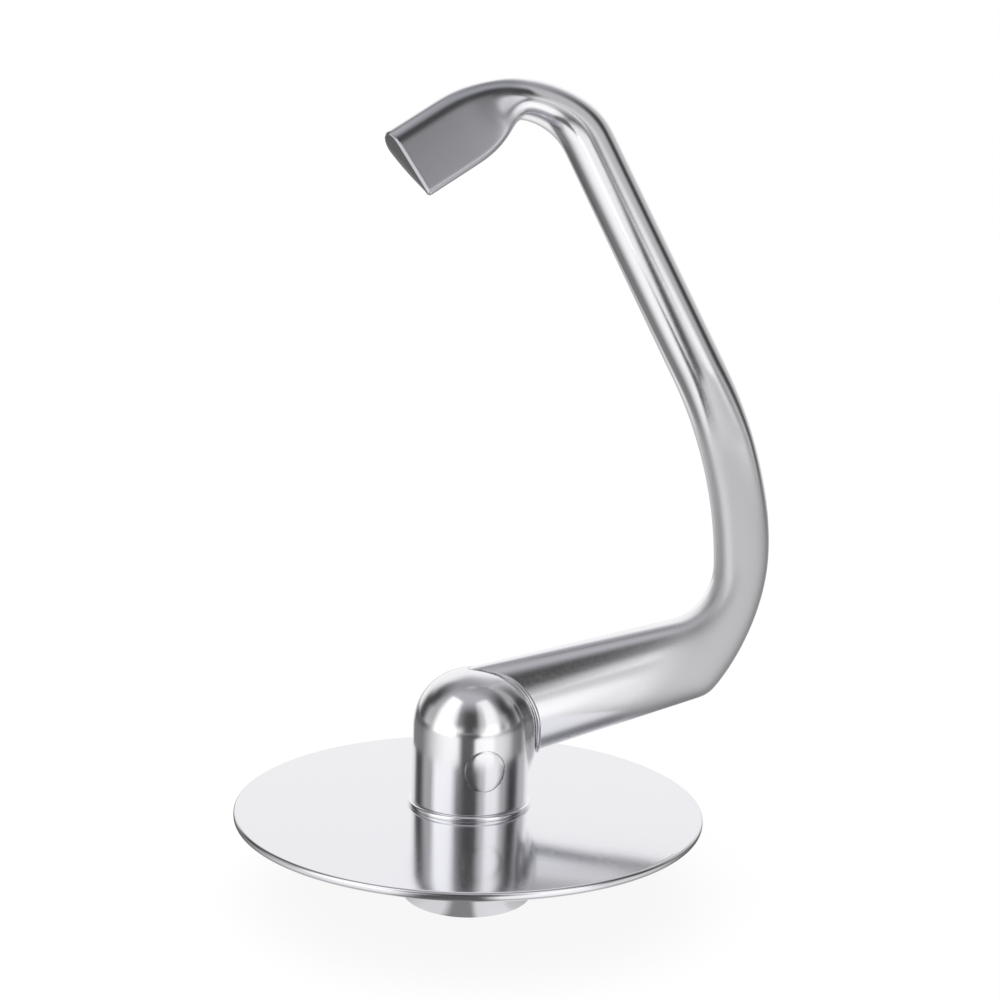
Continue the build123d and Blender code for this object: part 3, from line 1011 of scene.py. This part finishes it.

# %% Painted light and shade round the table
# Each bearing's level is painted light or painted shade on the table, seen only in mirrors
shade_stops = at_bearing([
    (-180, 0.95), (-152, 0.95), (-141, 0.22), (-104, 0.2), (-90, 0.38), (-78, 0.6), (-62, 0.85),
    (-46, 1.0), (14, 1.05), (25, 1.1), (43, 1.1), (50, 0.85), (62, 0.8), (76, 0.65), (92, 0.25),
    (112, 0.18), (124, 0.4), (140, 0.7), (155, 0.95), (180, 0.95),
])
shade = add_node(tree, "ShaderNodeValToRGB", {"stops": shade_stops}, Fac=bearing)
lit = add_node(
    tree, "ShaderNodeMix", {"data_type": "RGBA", "blend_type": "MULTIPLY"}, Factor=1.0,
    at_6=pool.outputs[2], at_7=shade.outputs["Color"],
)
print("shade has", len(shade_stops), "stops")

# %% Painted shadow stripe toward the camera
stripe_near = 0.15
stripe_far = 0.25
# Bearing of the stripe's middle at both distances, and the scale of offsets from it: less is a wider stripe
(near_middle, near_scale), (far_middle, far_scale) = at_bearing([(-3, 1.0), (2, 0.64)])
stripe_middle = add_node(
    tree, "ShaderNodeMapRange", Value=away, From_Min=stripe_near, From_Max=stripe_far,
    To_Min=near_middle, To_Max=far_middle,
)
offset = add_node(
    tree, "ShaderNodeMath", {"operation": "SUBTRACT"}, at_0=bearing, at_1=stripe_middle.outputs["Result"],
)
offset_scale = add_node(
    tree, "ShaderNodeMapRange", Value=away, From_Min=stripe_near, From_Max=stripe_far,
    To_Min=near_scale, To_Max=far_scale,
)
scaled = add_node(
    tree, "ShaderNodeMath", {"operation": "MULTIPLY"},
    at_0=offset.outputs["Value"], at_1=offset_scale.outputs["Result"],
)
on_stripe = add_node(tree, "ShaderNodeMath", {"operation": "ADD"}, at_0=scaled.outputs["Value"], at_1=0.5)
# The stripe is a painted shadow, as of a camera stand; nothing stands there
stripe_stops = at_bearing([(-180, 1.0), (-21, 1.0), (-11, 0.1), (9, 0.1), (15, 1.0)])
stripe = add_node(tree, "ShaderNodeValToRGB", {"stops": stripe_stops}, Fac=on_stripe.outputs["Value"])
strength_levels = [(0, 0.75), (0.05, 0.75), (0.08, 1.0), (0.5, 1.0), (0.8, 0.8), (1.4, 0.7)]
strength_stops = [(reach / pool_reach, level) for reach, level in strength_levels]
strength = add_node(
    tree, "ShaderNodeValToRGB", {"stops": strength_stops}, Fac=away_share.outputs["Result"],
)
painted_light_and_shade = add_node(
    tree, "ShaderNodeMix", {"data_type": "RGBA", "blend_type": "MULTIPLY"},
    Factor=strength.outputs["Color"], at_6=lit.outputs[2], at_7=stripe.outputs["Color"],
)
print("stripe widens from", stripe_near, "to", stripe_far, "m")

# %% White for the camera, painted light and shade for mirrors
camera_glow = 0.9
# Mirrors see the painted pool, painted shade and painted stripe as a glow of the table
painted_glow = add_node(tree, "ShaderNodeEmission", Color=painted_light_and_shade.outputs[2], Strength=1.0)
matt = add_node(tree, "ShaderNodeBsdfDiffuse", Color=linear("#F4F4F4"))
glow = add_node(tree, "ShaderNodeEmission", Color=linear("#FFFFFF"), Strength=1.0)
plain = add_node(
    tree, "ShaderNodeMixShader", Fac=camera_glow, at_1=matt.outputs["BSDF"], at_2=glow.outputs["Emission"],
)
rays = add_node(tree, "ShaderNodeLightPath")
top = add_node(
    tree, "ShaderNodeMixShader", Fac=rays.outputs["Is Camera Ray"],
    at_1=painted_glow.outputs["Emission"], at_2=plain.outputs["Shader"],
)
add_node(tree, "ShaderNodeOutputMaterial", Surface=top.outputs["Shader"])
print("table has", len(tree.nodes), "nodes")

# %% [markdown]
# ## Lamps
# A wide overhead light makes the soft shadow. Two upright panels stand in front of the hub, left and right,
# and give its bright streaks. They are linked to the hub, ring, dowel, collar and shield, so that the arm
# keeps the calm look that the room gives it. A small leaning panel, linked to the arm, gives its bar the long
# white line.

# %% Overhead light
overhead_data = bpy.data.lights.new("overhead", "SUN")
overhead_data.energy = 2.6
overhead_data.angle = radians(70)
overhead_light = bpy.data.objects.new("overhead", overhead_data)
overhead_light.rotation_euler = (radians(12), radians(-14), 0)
overhead_light.visible_glossy = False
scene.collection.objects.link(overhead_light)
print("overhead light is", round(overhead_data.angle, 2), "rad wide")

# %% Panel helper
def panel(name, place, aim, width, height, brightness, pieces, lean=0):
    """Soft panel that looks at a point and lights some pieces only. It fades toward both sides."""
    data = bpy.data.lights.new(name, "AREA")
    data.shape = "RECTANGLE"
    data.size = width
    data.size_y = height
    data.energy = brightness * pi * width * height
    data.use_nodes = True
    tree = data.node_tree
    tree.nodes.clear()
    spot = add_node(tree, "ShaderNodeNewGeometry").outputs["Parametric"]
    parts = add_node(tree, "ShaderNodeSeparateXYZ", Vector=spot)
    fade = [(0, 0.15), (0.22, 1.0), (0.78, 1.0), (1, 0.15)]
    level = add_node(tree, "ShaderNodeValToRGB", {"stops": fade}, Fac=parts.outputs["X"])
    glow = add_node(tree, "ShaderNodeEmission", Color=level.outputs["Color"], Strength=1.0)
    add_node(tree, "ShaderNodeOutputLight", Surface=glow.outputs["Emission"])
    lamp = bpy.data.objects.new(name, data)
    lamp.location = place
    lamp.rotation_euler = (aim - place).to_track_quat("-Z", "Y").to_euler()
    lamp.rotation_euler.rotate_axis("Z", radians(-lean))
    lamp.visible_camera = False
    scene.collection.objects.link(lamp)
    lamp.light_linking.receiver_collection = bpy.data.collections.new(name + " set")
    for piece in pieces:
        lamp.light_linking.receiver_collection.objects.link(piece)
    return lamp


print("panel helper ready")

# %% Panels
hub_set = (hub, foot_ring, dowel, shield, bush)
hub_distance = 0.3
hub_panel_height = 0.56
arm_distance = 0.15
arm_level = 0.075
arm_offset = 0.014
hub_aim = Vector((0, 0, hub_panel_height / 2))
left_spot = hub_aim + way_to(-52) * hub_distance
right_spot = hub_aim + way_to(38) * hub_distance
arm_spot = Vector((0, 0, arm_level)) + way_to(0) * arm_distance - level_right * arm_offset
arm_aim = arm_spot - way_to(0)
panel("left panel", left_spot, hub_aim, 0.3, hub_panel_height, brightness=0.78, pieces=hub_set)
panel("right panel", right_spot, hub_aim, 0.28, hub_panel_height, brightness=0.52, pieces=hub_set)
panel("arm panel", arm_spot, arm_aim, 0.1, 0.12, brightness=0.85, pieces=(hook,), lean=22)
